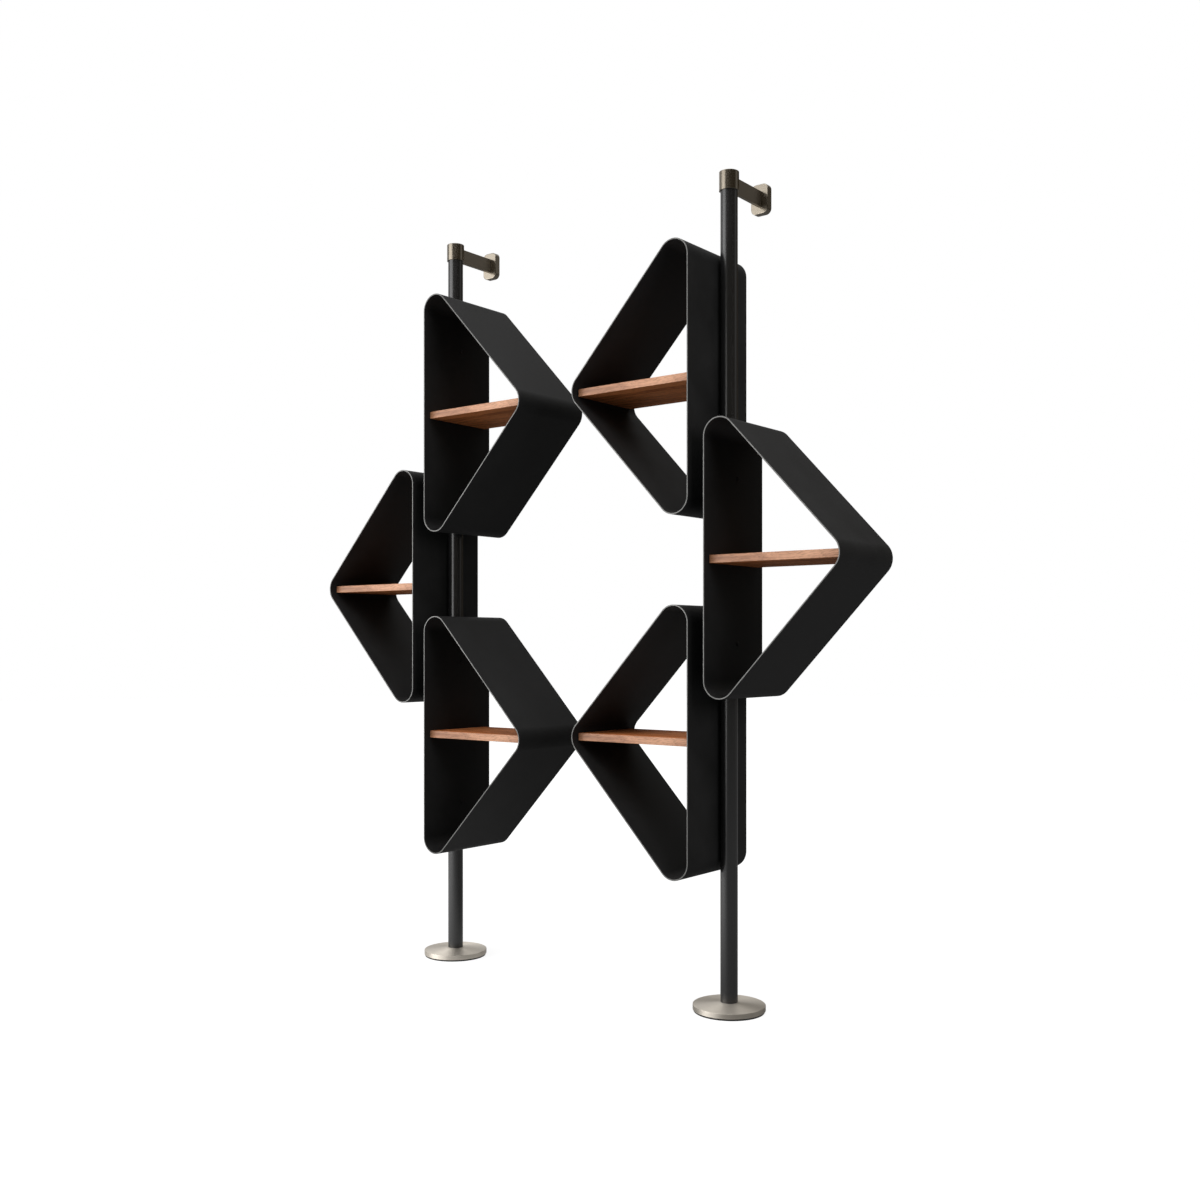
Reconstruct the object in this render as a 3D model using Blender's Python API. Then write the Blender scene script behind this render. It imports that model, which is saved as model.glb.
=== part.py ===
"""A wall-steadied bookcase: two round columns carry six rounded-triangle shelf bands.

Metres, +Z up. The front faces -Y, the wall is at +Y and the floor is at Z = 0.
"""

import math

import bmesh
import bpy
from mathutils import Matrix, Vector

# Overall sizes
CAP_TOP = 2.555
DEPTH = 0.385
COLUMN_SPACING = 1.160
TOUCH_GAP = 0.0003
WELD_DISTANCE = 0.00001
SMOOTH_ANGLE = math.radians(30)

# Columns
COLUMN_RADIUS = 0.0265
COLUMN_WALL = 0.003
COLUMN_BEHIND_FRONT = 0.185
COLUMN_SIDES = 48

# Foot of a column
PAD_RADIUS = 0.108
PAD_THICKNESS = 0.005
DISC_RADIUS = 0.111
DISC_EDGE = 0.0155
DISC_RISE = 0.0075
DISC_CHAMFER = 0.0016
DISC_SEAT_RADIUS = 0.0285
DISC_SIDES = 64
FOOT_BOLT_RADIUS = 0.006
FOOT_BOLT_HEAD_RADIUS = 0.0145
FOOT_BOLT_HEAD_HEIGHT = 0.0075
FOOT_BOLT_REACH = 0.034
FOOT_PLUG_HEIGHT = 0.040

# Head of a column
CAP_RADIUS = 0.0305
CAP_HEIGHT = 0.058
CAP_LID = 0.008
CAP_CHAMFER = 0.0012
CAP_SCREW_RADIUS = 0.003
CAP_SCREW_TURN = math.radians(-62)

# Wall bracket
ARM_HEIGHT = 0.0495
ARM_THICKNESS = 0.012
ARM_SCREW_RADIUS = 0.004
ARM_SCREW_HEAD_RADIUS = 0.008
ARM_SCREW_HEAD_HEIGHT = 0.004
ARM_SCREW_REACH = 0.028
PLATE_WIDTH = 0.062
PLATE_HEIGHT = 0.094
PLATE_THICKNESS = 0.022
PLATE_CORNER = 0.018
PLATE_CORNER_STEPS = 6
PLATE_FRONT = 0.007
PLATE_RIM = 0.009
PLATE_ARRIS = 0.0015
FIXING_THICKNESS = 0.009
FIXING_HOLE_RADIUS = 0.003
FIXING_HOLE_SPREAD = 0.028
LOCK_SCREW_RADIUS = 0.0025

# Shelf bands, sharp-cornered sizes before the bends are rounded
BAND_DEPTH = 0.330
BAND_REACH = 0.464
BAND_HALF_HEIGHT = 0.493
BAND_SHEET = 0.004
BEND_RADIUS = 0.054
APEX_RADIUS = 0.056
BEND_STEPS = 8
APEX_STEPS = 6
BAND_BOLT_OFFSETS = {"lower": -0.250, "upper": 0.250}
BAND_BOLT_RADIUS = 0.004
BAND_BOLT_HEAD_RADIUS = 0.0075
BAND_BOLT_CROWN_RADIUS = 0.005
BAND_BOLT_HEAD_HEIGHT = 0.003
BOSS_RADIUS = 0.0075
BOSS_LENGTH = 0.014

# Shelves and the hidden tabs that hold them
SHELF_THICKNESS = 0.024
SHELF_SETBACK = 0.027
SHELF_APEX_GAP = 0.003
SHELF_ARRIS = 0.001
GROOVE_DEPTH = 0.014
GROOVE_HEIGHT = 0.006
GROOVE_STOP = 0.045
TAB_THICKNESS = 0.005

FASTENER_SIDES = 12
TURNED_SIDES = 32

# Where each band sits: its column, the way it points along X and its apex height
BANDS = {
    "upper_left": ("left", 1, 1.917),
    "middle_left": ("left", -1, 1.322),
    "lower_left": ("left", 1, 0.804),
    "upper_right": ("right", -1, 1.914),
    "middle_right": ("right", 1, 1.367),
    "lower_right": ("right", -1, 0.824),
}

# Derived places
FRONT_Y = -DEPTH / 2
WALL_Y = DEPTH / 2
COLUMN_Y = FRONT_Y + COLUMN_BEHIND_FRONT
COLUMN_X = {"left": -COLUMN_SPACING / 2, "right": COLUMN_SPACING / 2}
DISC_BOTTOM = PAD_THICKNESS + TOUCH_GAP
DISC_TOP = DISC_BOTTOM + DISC_EDGE + DISC_RISE
COLUMN_BOTTOM = DISC_TOP + TOUCH_GAP
CAP_BOTTOM = CAP_TOP - CAP_HEIGHT
COLUMN_TOP = CAP_TOP - CAP_LID - TOUCH_GAP
BRACKET_Z = CAP_BOTTOM + ARM_HEIGHT / 2
PLATE_FRONT_Y = WALL_Y - PLATE_THICKNESS
POCKET_Y = PLATE_FRONT_Y + PLATE_FRONT
BAND_FACE = COLUMN_RADIUS + TOUCH_GAP


def clear_scene():
    for obj in list(bpy.data.objects):
        bpy.data.objects.remove(obj, do_unlink=True)


def finish(name, colour, roughness, metallic):
    """A Principled material for one kind of surface."""
    material = bpy.data.materials.new(name)
    material.use_nodes = True
    shader = material.node_tree.nodes["Principled BSDF"]
    shader.inputs["Base Color"].default_value = (*colour, 1.0)
    shader.inputs["Roughness"].default_value = roughness
    shader.inputs["Metallic"].default_value = metallic
    return material


def empty(name, location, parent=None):
    frame = bpy.data.objects.new(name, None)
    frame.location = location
    frame.parent = parent
    bpy.context.collection.objects.link(frame)
    return frame


def solid(name, bm, material, parent, smooth=True):
    """Turn a closed bmesh into a named object that rides on its parent empty."""
    bmesh.ops.recalc_face_normals(bm, faces=bm.faces)
    mesh = bpy.data.meshes.new(name)
    bm.to_mesh(mesh)
    bm.free()
    if smooth:
        mesh.shade_smooth()
        mesh.set_sharp_from_angle(angle=SMOOTH_ANGLE)
    if material:
        mesh.materials.append(material)
    obj = bpy.data.objects.new(name, mesh)
    obj.parent = parent
    bpy.context.collection.objects.link(obj)
    return obj


def boolean(body, bm, operation):
    """Join the closed shapes in a bmesh to a body, or take them away, as a live Boolean."""
    tool = solid(f"{body.name}_{operation.lower()}_{len(body.modifiers)}", bm, None, body.parent)
    tool.hide_render = True
    tool.display_type = "WIRE"
    modifier = body.modifiers.new(operation.lower(), "BOOLEAN")
    modifier.operation = operation
    modifier.solver = "EXACT"
    modifier.object = tool


def add_turned(bm, profile, sides, place=Matrix(), through=True):
    """Spin (radius, height) points about Z; a profile that is not through ends on the axis."""
    part = bmesh.new()
    points = [part.verts.new((radius, 0.0, height)) for radius, height in profile]
    pairs = list(zip(points, points[1:]))
    if through:
        pairs.append((points[-1], points[0]))
    edges = [part.edges.new(pair) for pair in pairs]
    bmesh.ops.spin(part, geom=points + edges, cent=(0, 0, 0), axis=(0, 0, 1),
                   angle=math.tau, steps=sides, use_merge=True)
    bmesh.ops.remove_doubles(part, verts=part.verts, dist=WELD_DISTANCE)
    join(bm, part, place)


def add_rod(bm, radius, low, high, sides, place=Matrix()):
    profile = [(0.0, low), (radius, low), (radius, high), (0.0, high)]
    add_turned(bm, profile, sides, place, through=False)


def add_box(bm, low, high, arris=0.0):
    """A box between two corners, with its edges eased by a small flat."""
    part = bmesh.new()
    bmesh.ops.create_cube(part, size=1.0)
    size = Vector(high) - Vector(low)
    middle = (Vector(high) + Vector(low)) / 2
    part.transform(Matrix.Translation(middle) @ Matrix.Diagonal((*size, 1.0)))
    if arris:
        bmesh.ops.bevel(part, geom=part.edges[:], offset=arris, segments=1, affect="EDGES")
    join(bm, part)


def join(bm, part, place=Matrix()):
    """Add a part's shape to a group of separate shapes."""
    part.transform(place)
    bmesh.ops.recalc_face_normals(part, faces=part.faces)
    carrier = bpy.data.meshes.new("carrier")
    part.to_mesh(carrier)
    part.free()
    bm.from_mesh(carrier)
    bpy.data.meshes.remove(carrier)


def along_x(x_sign, y=0.0, z=0.0):
    """A placing that lays a turned shape's height along X."""
    return Matrix.Translation((0.0, y, z)) @ Matrix.Rotation(x_sign * math.pi / 2, 4, "Y")


def along_y(x=0.0, z=0.0):
    """A placing that lays a turned shape's height along +Y."""
    return Matrix.Translation((x, 0.0, z)) @ Matrix.Rotation(-math.pi / 2, 4, "X")


def rounded_corner(before, corner, after, radius, steps):
    """Points of the arc that rounds a corner, from the side before it to the side after it."""
    back = (before - corner).normalized()
    on = (after - corner).normalized()
    half = back.angle(on) / 2
    centre = corner + (back + on).normalized() * radius / math.sin(half)
    spoke = corner + back * radius / math.tan(half) - centre
    sweep = math.pi - 2 * half
    turn = math.copysign(sweep, (corner - before).cross(after - corner))
    return [centre + Matrix.Rotation(turn * i / steps, 2) @ spoke for i in range(steps + 1)]


def band_outline(inset):
    """The band's rounded triangle in X and Z, drawn inside its outer face by an inset."""
    slope = math.hypot(BAND_REACH, BAND_HALF_HEIGHT)
    shrink = 1 - inset * slope / (BAND_REACH * BAND_HALF_HEIGHT)
    tip = BAND_HALF_HEIGHT * (shrink - inset / BAND_REACH)
    top = Vector((inset, tip))
    bottom = Vector((inset, -tip))
    apex = Vector((BAND_REACH * shrink, 0.0))
    points = rounded_corner(top, bottom, apex, BEND_RADIUS - inset, BEND_STEPS)
    points += rounded_corner(bottom, apex, top, APEX_RADIUS - inset, APEX_STEPS)
    points += rounded_corner(apex, top, bottom, BEND_RADIUS - inset, BEND_STEPS)
    return points


def make_foot(side, stand, nickel, felt, steel):
    """Felt pad, conical disc, and the plug and bolt that hold the column on the disc."""
    bm = bmesh.new()
    add_rod(bm, PAD_RADIUS, 0.0, PAD_THICKNESS, DISC_SIDES)
    solid(f"{side}_base_pad", bm, felt, stand)

    head_top = DISC_BOTTOM + FOOT_BOLT_HEAD_HEIGHT
    clear = FOOT_BOLT_RADIUS + 2 * TOUCH_GAP
    bm = bmesh.new()
    add_turned(bm, [
        (clear, DISC_TOP),
        (DISC_SEAT_RADIUS, DISC_TOP),
        (DISC_RADIUS - DISC_CHAMFER, DISC_BOTTOM + DISC_EDGE),
        (DISC_RADIUS, DISC_BOTTOM + DISC_EDGE - DISC_CHAMFER),
        (DISC_RADIUS, DISC_BOTTOM + DISC_CHAMFER / 2),
        (DISC_RADIUS - DISC_CHAMFER / 2, DISC_BOTTOM),
        (FOOT_BOLT_HEAD_RADIUS + 3 * TOUCH_GAP, DISC_BOTTOM),
        (clear, head_top),
    ], DISC_SIDES)
    solid(f"{side}_base_disc", bm, nickel, stand)

    bm = bmesh.new()
    add_turned(bm, [
        (0.0, COLUMN_BOTTOM + FOOT_BOLT_REACH),
        (FOOT_BOLT_RADIUS, COLUMN_BOTTOM + FOOT_BOLT_REACH),
        (FOOT_BOLT_RADIUS, head_top),
        (FOOT_BOLT_HEAD_RADIUS, DISC_BOTTOM + TOUCH_GAP),
        (FOOT_BOLT_RADIUS / 2, DISC_BOTTOM + TOUCH_GAP),
        (FOOT_BOLT_RADIUS / 2, DISC_BOTTOM + FOOT_BOLT_HEAD_HEIGHT / 2),
        (0.0, DISC_BOTTOM + FOOT_BOLT_HEAD_HEIGHT / 2),
    ], 2 * FASTENER_SIDES, through=False)
    solid(f"{side}_base_bolt", bm, steel, stand)

    bore = FOOT_BOLT_RADIUS + TOUCH_GAP
    plug = COLUMN_RADIUS - COLUMN_WALL - TOUCH_GAP
    bm = bmesh.new()
    add_turned(bm, [
        (bore, COLUMN_BOTTOM + FOOT_PLUG_HEIGHT),
        (plug, COLUMN_BOTTOM + FOOT_PLUG_HEIGHT),
        (plug, COLUMN_BOTTOM),
        (bore, COLUMN_BOTTOM),
    ], TURNED_SIDES)
    solid(f"{side}_foot_plug", bm, steel, stand)


def make_column(side, stand, lacquer):
    """The tube, with the drilled bosses welded into it that the bands bolt to."""
    inner = COLUMN_RADIUS - COLUMN_WALL
    bm = bmesh.new()
    add_turned(bm, [
        (inner, COLUMN_TOP),
        (COLUMN_RADIUS, COLUMN_TOP),
        (COLUMN_RADIUS, COLUMN_BOTTOM),
        (inner, COLUMN_BOTTOM),
    ], COLUMN_SIDES)
    column = solid(f"{side}_column", bm, lacquer, stand)

    bosses = bmesh.new()
    drill = bmesh.new()
    reach = COLUMN_RADIUS - BOSS_LENGTH
    for column_side, way, height in BANDS.values():
        if column_side != side:
            continue
        for offset in BAND_BOLT_OFFSETS.values():
            place = along_x(way, z=height + offset)
            add_rod(bosses, BOSS_RADIUS, reach, COLUMN_RADIUS - COLUMN_WALL / 2, FASTENER_SIDES, place)
            add_rod(drill, BAND_BOLT_RADIUS + TOUCH_GAP, reach / 2, 2 * COLUMN_RADIUS, FASTENER_SIDES, place)
    boolean(column, bosses, "UNION")
    boolean(column, drill, "DIFFERENCE")


def make_head(side, stand, nickel, steel):
    """The sleeve cap over the column's top and the grub screw that clamps it from behind."""
    bore = COLUMN_RADIUS + TOUCH_GAP
    ceiling = CAP_TOP - CAP_LID
    bm = bmesh.new()
    add_turned(bm, [
        (0.0, CAP_TOP),
        (CAP_RADIUS - CAP_CHAMFER, CAP_TOP),
        (CAP_RADIUS, CAP_TOP - CAP_CHAMFER),
        (CAP_RADIUS, CAP_BOTTOM),
        (bore, CAP_BOTTOM),
        (bore, ceiling),
        (0.0, ceiling),
    ], COLUMN_SIDES, through=False)
    cap = solid(f"{side}_top_cap", bm, nickel, stand)

    place = Matrix.Rotation(CAP_SCREW_TURN, 4, "Z") @ along_y(z=BRACKET_Z)
    drill = bmesh.new()
    add_rod(drill, CAP_SCREW_RADIUS + TOUCH_GAP, COLUMN_RADIUS / 2, 2 * CAP_RADIUS, FASTENER_SIDES, place)
    boolean(cap, drill, "DIFFERENCE")
    bm = bmesh.new()
    add_rod(bm, CAP_SCREW_RADIUS, bore, CAP_RADIUS - TOUCH_GAP, FASTENER_SIDES, place)
    solid(f"{side}_cap_screw", bm, steel, stand)


def make_wall_bracket(side, stand, nickel, steel):
    """The flat arm from the cap to the wall, its hollow plate and what is inside the plate."""
    half = ARM_THICKNESS / 2
    front = PLATE_FRONT_Y - COLUMN_Y
    pocket = POCKET_Y - COLUMN_Y
    wall = WALL_Y - COLUMN_Y
    screw_place = along_y(z=BRACKET_Z)
    drilled = ARM_SCREW_RADIUS + TOUCH_GAP
    screw_tip = front - ARM_SCREW_REACH

    bm = bmesh.new()
    add_box(bm, (-half, 0.0, CAP_BOTTOM), (half, front - TOUCH_GAP, CAP_BOTTOM + ARM_HEIGHT))
    arm = solid(f"{side}_wall_arm", bm, nickel, stand)
    shaping = bmesh.new()
    add_rod(shaping, CAP_RADIUS + TOUCH_GAP, CAP_BOTTOM - CAP_HEIGHT, CAP_TOP + CAP_HEIGHT, COLUMN_SIDES)
    add_rod(shaping, drilled, screw_tip - TOUCH_GAP, wall, FASTENER_SIDES, screw_place)
    boolean(arm, shaping, "DIFFERENCE")

    lock_place = Matrix.Translation((0.0, wall - FIXING_THICKNESS / 2, BRACKET_Z - PLATE_HEIGHT / 2))
    plate = solid(f"{side}_wall_plate", plate_shape(0.0, front, wall, PLATE_ARRIS), nickel, stand)
    boolean(plate, plate_shape(PLATE_RIM, pocket, wall + PLATE_THICKNESS), "DIFFERENCE")
    holes = bmesh.new()
    add_rod(holes, drilled, front - PLATE_THICKNESS, wall, FASTENER_SIDES, screw_place)
    add_rod(holes, LOCK_SCREW_RADIUS + TOUCH_GAP, -PLATE_RIM, 2 * PLATE_RIM, FASTENER_SIDES, lock_place)
    boolean(plate, holes, "DIFFERENCE")

    head = pocket + TOUCH_GAP
    bm = bmesh.new()
    add_turned(bm, [
        (0.0, head + ARM_SCREW_HEAD_HEIGHT),
        (ARM_SCREW_HEAD_RADIUS, head + ARM_SCREW_HEAD_HEIGHT),
        (ARM_SCREW_HEAD_RADIUS, head),
        (ARM_SCREW_RADIUS, head),
        (ARM_SCREW_RADIUS, screw_tip),
        (0.0, screw_tip),
    ], FASTENER_SIDES, screw_place, through=False)
    solid(f"{side}_arm_screw", bm, steel, stand)

    inset = PLATE_RIM + TOUCH_GAP
    fixing = solid(f"{side}_fixing_plate", plate_shape(inset, wall - FIXING_THICKNESS, wall), steel, stand)
    holes = bmesh.new()
    for height in (BRACKET_Z - FIXING_HOLE_SPREAD, BRACKET_Z + FIXING_HOLE_SPREAD):
        add_rod(holes, FIXING_HOLE_RADIUS, pocket, wall + PLATE_THICKNESS, FASTENER_SIDES, along_y(z=height))
    boolean(fixing, holes, "DIFFERENCE")

    bm = bmesh.new()
    add_rod(bm, LOCK_SCREW_RADIUS, TOUCH_GAP, PLATE_RIM, FASTENER_SIDES, lock_place)
    solid(f"{side}_plate_screw", bm, steel, stand)


def plate_shape(inset, near, far, arris=0.0):
    """A round-cornered upright plate between two depths, its near edge eased by an arris."""
    half_width = PLATE_WIDTH / 2 - inset
    half_height = PLATE_HEIGHT / 2 - inset
    corners = [Vector((x * half_width, z * half_height)) for x, z in ((1, -1), (1, 1), (-1, 1), (-1, -1))]
    radius = PLATE_CORNER - inset
    outline = []
    for i, corner in enumerate(corners):
        after = corners[(i + 1) % len(corners)]
        outline += rounded_corner(corners[i - 1], corner, after, radius, PLATE_CORNER_STEPS)
    bm = bmesh.new()
    face = bm.faces.new([bm.verts.new((x, near, BRACKET_Z + z)) for x, z in outline])
    back = bmesh.ops.extrude_face_region(bm, geom=[face], use_keep_orig=True)
    moved = [item for item in back["geom"] if isinstance(item, bmesh.types.BMVert)]
    bmesh.ops.translate(bm, vec=(0.0, far - near, 0.0), verts=moved)
    if arris:
        bmesh.ops.bevel(bm, geom=list(face.edges), offset=arris, segments=1, affect="EDGES")
    return bm


def make_band(name, way, rack, lacquer, walnut, steel):
    """One bent sheet band with its shelf, the tabs in the shelf's ends and the column bolts."""
    front = FRONT_Y - COLUMN_Y
    back = front + BAND_DEPTH
    outer = band_outline(0.0)
    inner = band_outline(BAND_SHEET)
    bm = bmesh.new()
    rims = []
    for outline in (outer, inner):
        rims.append([bm.verts.new((way * (BAND_FACE + x), front, z)) for x, z in outline])
    count = len(outer)
    rim_faces = []
    for i in range(count):
        j = (i + 1) % count
        rim_faces.append(bm.faces.new((rims[0][i], rims[0][j], rims[1][j], rims[1][i])))
    swept = bmesh.ops.extrude_face_region(bm, geom=rim_faces, use_keep_orig=True)
    moved = [item for item in swept["geom"] if isinstance(item, bmesh.types.BMVert)]
    bmesh.ops.translate(bm, vec=(0.0, BAND_DEPTH, 0.0), verts=moved)
    band = solid(f"{name}_band", bm, lacquer, rack)

    inside = BAND_FACE + BAND_SHEET
    head = inside + TOUCH_GAP
    drill = bmesh.new()
    for bolt, offset in BAND_BOLT_OFFSETS.items():
        place = along_x(way, z=offset)
        add_rod(drill, BAND_BOLT_RADIUS + TOUCH_GAP, COLUMN_RADIUS / 2, 2 * inside, FASTENER_SIDES, place)
        bm = bmesh.new()
        add_turned(bm, [
            (0.0, head + BAND_BOLT_HEAD_HEIGHT),
            (BAND_BOLT_CROWN_RADIUS, head + BAND_BOLT_HEAD_HEIGHT),
            (BAND_BOLT_HEAD_RADIUS, head + BAND_BOLT_HEAD_HEIGHT / 3),
            (BAND_BOLT_HEAD_RADIUS, head),
            (BAND_BOLT_RADIUS, head),
            (BAND_BOLT_RADIUS, COLUMN_RADIUS - BOSS_LENGTH),
            (0.0, COLUMN_RADIUS - BOSS_LENGTH),
        ], FASTENER_SIDES, place, through=False)
        solid(f"{name}_{bolt}_bolt", bm, lacquer, rack)
    boolean(band, drill, "DIFFERENCE")

    apex = BAND_FACE + max(x for x, z in inner)
    root_end = inside + TOUCH_GAP
    apex_end = apex - SHELF_APEX_GAP
    near = front + SHELF_SETBACK
    far = back - SHELF_SETBACK
    half = SHELF_THICKNESS / 2
    bm = bmesh.new()
    add_box(bm, *spans(way, (root_end, apex_end), (near, far), (-half, half)), SHELF_ARRIS)
    shelf = solid(f"{name}_shelf", bm, walnut, rack, smooth=False)

    groove_half = GROOVE_HEIGHT / 2
    tab_half = TAB_THICKNESS / 2
    groove_run = (near + GROOVE_STOP, 2 * far)
    tab_run = (near + GROOVE_STOP + TOUCH_GAP, far)
    tab_spans = {
        "root": (root_end, root_end + GROOVE_DEPTH - TOUCH_GAP),
        "apex": (apex_end - GROOVE_DEPTH + TOUCH_GAP, apex - 2 * TOUCH_GAP),
    }
    groove = bmesh.new()
    for end in (root_end, apex_end):
        groove_x = (end - GROOVE_DEPTH, end + GROOVE_DEPTH)
        add_box(groove, *spans(way, groove_x, groove_run, (-groove_half, groove_half)))
    boolean(shelf, groove, "DIFFERENCE")
    for end, tab_x in tab_spans.items():
        bm = bmesh.new()
        add_box(bm, *spans(way, tab_x, tab_run, (-tab_half, tab_half)))
        solid(f"{name}_{end}_tab", bm, steel, rack, smooth=False)


def spans(way, x_span, y_span, z_span):
    """The low and high corners of a box whose X runs the way the band points."""
    x_low, x_high = sorted(way * x for x in x_span)
    return (x_low, y_span[0], z_span[0]), (x_high, y_span[1], z_span[1])


def main():
    clear_scene()
    nickel = finish("satin_nickel", (0.42, 0.38, 0.32), 0.32, 1.0)
    column_black = finish("column_lacquer", (0.012, 0.012, 0.013), 0.42, 0.0)
    band_black = finish("band_lacquer", (0.016, 0.016, 0.017), 0.62, 0.0)
    walnut = finish("walnut", (0.27, 0.13, 0.065), 0.5, 0.0)
    steel = finish("plain_steel", (0.35, 0.35, 0.35), 0.45, 1.0)
    felt = finish("felt", (0.03, 0.03, 0.03), 0.95, 0.0)

    stands = {}
    for side, x in COLUMN_X.items():
        stand = empty(f"{side}_stand", (x, COLUMN_Y, 0.0))
        stands[side] = stand
        make_foot(side, stand, nickel, felt, steel)
        make_column(side, stand, column_black)
        make_head(side, stand, nickel, steel)
        make_wall_bracket(side, stand, nickel, steel)

    for name, (side, way, height) in BANDS.items():
        rack = empty(f"{name}_rack", (0.0, 0.0, height), stands[side])
        make_band(name, way, rack, band_black, walnut, steel)


main()
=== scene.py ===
import math

import bmesh
import bpy
from mathutils import Matrix, Vector


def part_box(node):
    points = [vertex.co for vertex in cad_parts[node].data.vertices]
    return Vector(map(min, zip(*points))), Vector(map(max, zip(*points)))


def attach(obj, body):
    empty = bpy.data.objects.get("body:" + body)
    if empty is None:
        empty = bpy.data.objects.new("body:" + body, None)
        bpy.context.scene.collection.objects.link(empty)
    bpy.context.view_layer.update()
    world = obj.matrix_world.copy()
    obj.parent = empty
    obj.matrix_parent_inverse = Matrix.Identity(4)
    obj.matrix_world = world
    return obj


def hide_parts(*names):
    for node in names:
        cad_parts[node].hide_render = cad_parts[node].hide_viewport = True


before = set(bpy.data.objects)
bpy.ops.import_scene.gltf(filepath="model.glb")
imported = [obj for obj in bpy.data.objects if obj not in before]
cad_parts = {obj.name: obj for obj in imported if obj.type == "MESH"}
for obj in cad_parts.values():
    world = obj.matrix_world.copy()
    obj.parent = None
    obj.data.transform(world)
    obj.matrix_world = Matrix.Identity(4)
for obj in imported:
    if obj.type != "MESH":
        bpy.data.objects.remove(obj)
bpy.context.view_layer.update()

# Felt pads under the feet
# Each foot stands on a disc of dense dark felt, punched from sheet and glued under the metal.
# Only its edge is seen, as a thin dark line between the foot and the floor.
SIDES = ("left", "right")
FELT_EDGE_ROUND = 0.0010
FELT_EDGE_STEPS = 4
FELT_TURN_STEPS = 96
FELT_TONES = ((0.3, (0.010, 0.010, 0.011)), (0.75, (0.042, 0.040, 0.038)))
FELT_ROUGHNESS = 0.95
FELT_SHEEN = 0.25
FELT_FIBRE_SCALE = 1500.0
FELT_NAP_DEPTH = 0.0005
ON_AXIS = 1e-6
SHARP_TURN = math.radians(40)


def rounded(corners, radii, steps):
    """Points along a closed outline whose corners are rounded, each by its own radius."""
    points = []
    count = len(corners)
    for i, radius in enumerate(radii):
        corner = Vector(corners[i])
        if radius == 0.0:
            points.append(corner)
            continue
        before = (Vector(corners[i - 1]) - corner).normalized()
        after = (Vector(corners[(i + 1) % count]) - corner).normalized()
        half = before.angle(after) / 2
        centre = corner + (before + after).normalized() * radius / math.sin(half)
        spoke = corner + before * radius / math.tan(half) - centre
        sweep = math.copysign(math.pi - 2 * half, after.cross(before))
        for step in range(steps + 1):
            points.append(centre + Matrix.Rotation(sweep * step / steps, 2) @ spoke)
    return points


def turned(profile, turn_steps):
    """Spin a closed outline of radius and height about Z, as on a lathe."""
    bm = bmesh.new()
    angles = [math.tau * step / turn_steps for step in range(turn_steps)]
    rings = []
    for radius, height in profile:
        if radius < ON_AXIS:
            rings.append([bm.verts.new((0.0, 0.0, height))] * turn_steps)
        else:
            rings.append([bm.verts.new((radius * math.cos(a), radius * math.sin(a), height))
                          for a in angles])
    for i, ring in enumerate(rings):
        before = rings[i - 1]
        for step in range(turn_steps):
            on = (step + 1) % turn_steps
            face = list(dict.fromkeys((before[step], before[on], ring[on], ring[step])))
            if len(face) > 2:
                bm.faces.new(face)
    return bm


def underside(low, high):
    """The middle of the underside of a box, where a turned piece has its origin."""
    return (low.x + high.x) / 2, (low.y + high.y) / 2, low.z


def make_piece(name, bm, place, *finishes):
    """Turn a worked shape into a named piece whose flats stay flat beside its soft edges."""
    bmesh.ops.recalc_face_normals(bm, faces=bm.faces)
    mesh = bpy.data.meshes.new(name)
    bm.to_mesh(mesh)
    bm.free()
    mesh.shade_smooth()
    mesh.set_sharp_from_angle(angle=SHARP_TURN)
    for finish in finishes:
        mesh.materials.append(finish)
    piece = bpy.data.objects.new(name, mesh)
    piece.location = place
    bpy.context.collection.objects.link(piece)
    flats = piece.modifiers.new("flat_faces", "WEIGHTED_NORMAL")
    flats.keep_sharp = True
    return piece


def stand_in(piece, node):
    """The piece rides on the bookcase in place of the solid of the same part."""
    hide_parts(node)
    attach(piece, "root")


def new_finish(name, **settings):
    """A material and its shader, with the settings that are the same all over it."""
    finish = bpy.data.materials.new(name)
    finish.use_nodes = True
    shader = finish.node_tree.nodes["Principled BSDF"]
    for socket, value in settings.items():
        shader.inputs[socket.replace("_", " ")].default_value = value
    return finish, shader


def node(finish, kind, feeds=(), **settings):
    """A node in a finish: settings are its own properties, feeds are (input, value or output)."""
    made = finish.node_tree.nodes.new(kind)
    for key, value in settings.items():
        setattr(made, key, value)
    for key, value in feeds:
        if isinstance(value, bpy.types.NodeSocket):
            finish.node_tree.links.new(value, made.inputs[key])
        else:
            made.inputs[key].default_value = value
    return made


def place_on_piece(finish):
    """Coordinates in metres from the piece's own origin."""
    return node(finish, "ShaderNodeTexCoord").outputs["Object"]


def speckle(finish, coordinates, scale, detail=2.0, rough=0.5):
    """Soft irregular spots, so many to the metre."""
    return node(finish, "ShaderNodeTexNoise", [
        ("Vector", coordinates), ("Scale", scale), ("Detail", detail), ("Roughness", rough),
    ]).outputs["Fac"]


def tones(finish, amount, *stops):
    """Colours laid along an amount; each stop is a position and a colour."""
    ramp = node(finish, "ShaderNodeValToRGB", [("Fac", amount)])
    elements = ramp.color_ramp.elements
    while len(elements) < len(stops):
        elements.new(0.5)
    for element, (position, colour) in zip(elements, stops):
        element.position = position
        element.color = (*colour, 1.0)
    return ramp.outputs["Color"]


def feed(finish, shader, socket, output):
    """Lead the output of one node into a socket of another."""
    finish.node_tree.links.new(output, shader.inputs[socket])


def relief(finish, shader, height, depth, strength=1.0):
    """Fine surface relief, in metres of depth."""
    bump = node(finish, "ShaderNodeBump", [
        ("Height", height), ("Distance", depth), ("Strength", strength)])
    feed(finish, shader, "Normal", bump.outputs["Normal"])


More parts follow.
